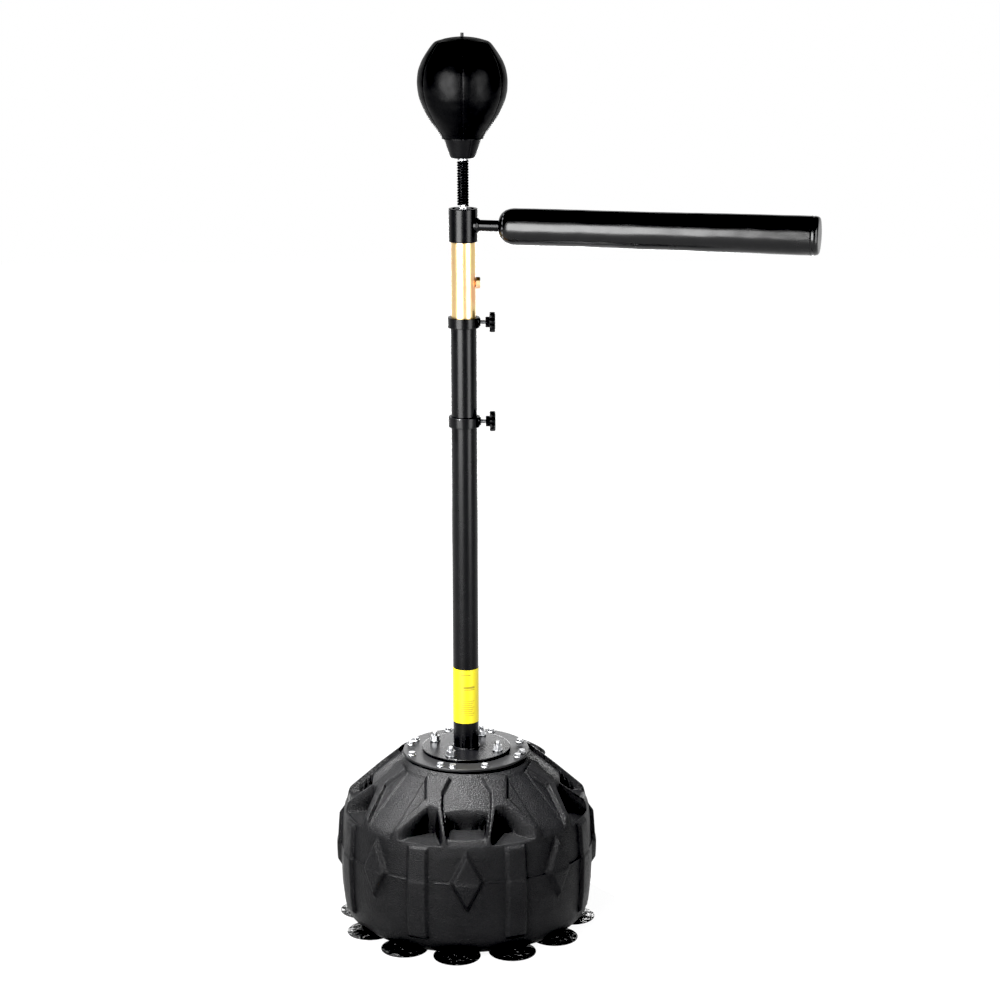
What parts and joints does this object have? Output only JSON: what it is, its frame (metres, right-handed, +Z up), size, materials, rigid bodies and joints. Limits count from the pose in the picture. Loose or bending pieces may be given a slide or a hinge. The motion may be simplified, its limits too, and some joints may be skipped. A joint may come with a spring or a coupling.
{
  "type": "reflex ball stand",
  "caption": "Free-standing boxing stand: ballast tub on suction cups, telescoping clamped pole, padded bar spinning on bearings and a leather reflex ball on a rebound spring.",
  "frame": {"origin": "on the floor, at the centre of the tub's flat foot, on the pole's axis", "axes": "+Z up along the pole, -Y the front of the tub, +X the side the clamp knobs point to"},
  "size_m": [0.9186, 0.518, 1.7507],
  "materials": {
    "tub_plastic": "moulded black polyethylene with a fine grain",
    "water": "water, filled in before use",
    "seal_rubber": "matt black rubber",
    "cap_plastic": "black plastic",
    "cup_plastic": "soft black plastic, shiny",
    "black_paint": "black powder coat, satin gloss",
    "label": "plain yellow film",
    "zinc": "bright zinc plate",
    "knob_plastic": "black plastic",
    "yellow_zinc": "yellow passivated zinc plate",
    "bearing_steel": "ground steel",
    "foam": "grey padding foam",
    "bar_vinyl": "glossy black vinyl",
    "spring_steel": "black coated spring wire",
    "cup_cone_plastic": "black plastic",
    "bladder_rubber": "black rubber",
    "ball_leather": "black synthetic leather"
  },
  "bodies": {
    "base": {"base_tub": "tub_plastic", "water_ballast": "water", "top_plate": "black_paint", "lower_pole": "black_paint", "pole_label": "label", "suction_cup_01": "cup_plastic", "suction_cup_02": "cup_plastic", "suction_cup_03": "cup_plastic", "suction_cup_04": "cup_plastic", "suction_cup_05": "cup_plastic", "suction_cup_06": "cup_plastic", "suction_cup_07": "cup_plastic", "suction_cup_08": "cup_plastic", "suction_cup_09": "cup_plastic", "suction_cup_10": "cup_plastic", "suction_cup_11": "cup_plastic", "suction_cup_12": "cup_plastic", "plate_screw_01": "zinc", "plate_screw_02": "zinc", "plate_screw_03": "zinc", "plate_screw_04": "zinc", "plate_screw_05": "zinc", "plate_screw_06": "zinc", "plate_screw_07": "zinc", "plate_screw_08": "zinc", "plate_screw_09": "zinc", "plate_screw_10": "zinc", "plate_screw_11": "zinc", "plate_screw_12": "zinc", "foot_nut_01": "zinc", "foot_nut_02": "zinc", "foot_nut_03": "zinc", "foot_nut_04": "zinc"},
    "filler_seal_ring": {"filler_seal": "seal_rubber"},
    "filler_cap_top": {"filler_cap": "cap_plastic"},
    "middle_section": {"middle_tube": "black_paint"},
    "lower_clamp_screw": {"lower_knob_screw": "zinc"},
    "lower_clamp_knob": {"lower_knob_grip": "knob_plastic"},
    "upper_section": {"inner_tube": "yellow_zinc", "cross_bolt": "yellow_zinc", "spindle": "bearing_steel", "spindle_nut": "zinc", "lower_bearing_inner_race": "bearing_steel", "upper_bearing_inner_race": "bearing_steel"},
    "upper_clamp_screw": {"upper_knob_screw": "zinc"},
    "upper_clamp_knob": {"upper_knob_grip": "knob_plastic"},
    "bar": {"bar_hub": "black_paint", "bar_foam": "foam", "bar_cover": "bar_vinyl", "lower_bearing_outer_race": "bearing_steel", "upper_bearing_outer_race": "bearing_steel"},
    "lower_ball_ring": {"lower_bearing_balls": "bearing_steel"},
    "upper_ball_ring": {"upper_bearing_balls": "bearing_steel"},
    "spring": {"rebound_spring": "spring_steel"},
    "ball": {"ball_stud": "zinc", "ball_cup": "cup_cone_plastic", "ball_bladder": "bladder_rubber", "ball_cover": "ball_leather"}
  },
  "joints": [
    {"name": "filler_lift", "type": "slide", "parent": "base", "child": "filler_seal_ring", "axis": [0.4333, 0.4333, 0.7903], "range_m": [0, 0.012]},
    {"name": "filler_turn", "type": "hinge", "parent": "filler_seal_ring", "child": "filler_cap_top", "pos_m": [0.12799, 0.12799, 0.29485], "axis": [0.4333, 0.4333, 0.7903], "range_deg": [0, 1080]},
    {"name": "middle_height", "type": "slide", "parent": "base", "child": "middle_section", "axis": [0, 0, 1], "range_m": [0, 0.2]},
    {"name": "upper_height", "type": "slide", "parent": "middle_section", "child": "upper_section", "axis": [0, 0, 1], "range_m": [-0.054, 0.05]},
    {"name": "lower_clamp_travel", "type": "slide", "parent": "base", "child": "lower_clamp_screw", "axis": [1, 0, 0], "range_m": [0, 0.00375]},
    {"name": "lower_clamp_turn", "type": "hinge", "parent": "lower_clamp_screw", "child": "lower_clamp_knob", "pos_m": [0.05, 0, 1.01455], "axis": [1, 0, 0], "range_deg": [0, 1080]},
    {"name": "upper_clamp_travel", "type": "slide", "parent": "middle_section", "child": "upper_clamp_screw", "axis": [1, 0, 0], "range_m": [0, 0.00375]},
    {"name": "upper_clamp_turn", "type": "hinge", "parent": "upper_clamp_screw", "child": "upper_clamp_knob", "pos_m": [0.05, 0, 1.20755], "axis": [1, 0, 0], "range_deg": [0, 1080]},
    {"name": "bar_spin", "type": "hinge", "parent": "upper_section", "child": "bar", "pos_m": [0, 0, 1.3932], "axis": [0, 0, 1], "continuous": true},
    {"name": "lower_balls_roll", "type": "hinge", "parent": "upper_section", "child": "lower_ball_ring", "pos_m": [0, 0, 1.3722], "axis": [0, 0, 1], "continuous": true},
    {"name": "upper_balls_roll", "type": "hinge", "parent": "upper_section", "child": "upper_ball_ring", "pos_m": [0, 0, 1.4102], "axis": [0, 0, 1], "continuous": true},
    {"name": "ball_swing_side", "type": "hinge", "parent": "upper_section", "child": "spring", "pos_m": [0, 0, 1.4571], "axis": [0, 1, 0], "range_deg": [-45, 45], "stiffness_Nm_per_rad": 12, "deforming": ["rebound_spring"]},
    {"name": "ball_swing_fore", "type": "hinge", "parent": "spring", "child": "ball", "pos_m": [0, 0, 1.4863], "axis": [1, 0, 0], "range_deg": [-45, 45], "stiffness_Nm_per_rad": 12}
  ],
  "couplings": [
    {"joint": "filler_lift", "follows": "filler_turn", "m_per_rad": 0.00063662},
    {"joint": "lower_clamp_travel", "follows": "lower_clamp_turn", "m_per_rad": 0.00019894},
    {"joint": "upper_clamp_travel", "follows": "upper_clamp_turn", "m_per_rad": 0.00019894},
    {"joint": "lower_balls_roll", "follows": "bar_spin", "ratio": 0.592},
    {"joint": "upper_balls_roll", "follows": "bar_spin", "ratio": 0.592}
  ]
}
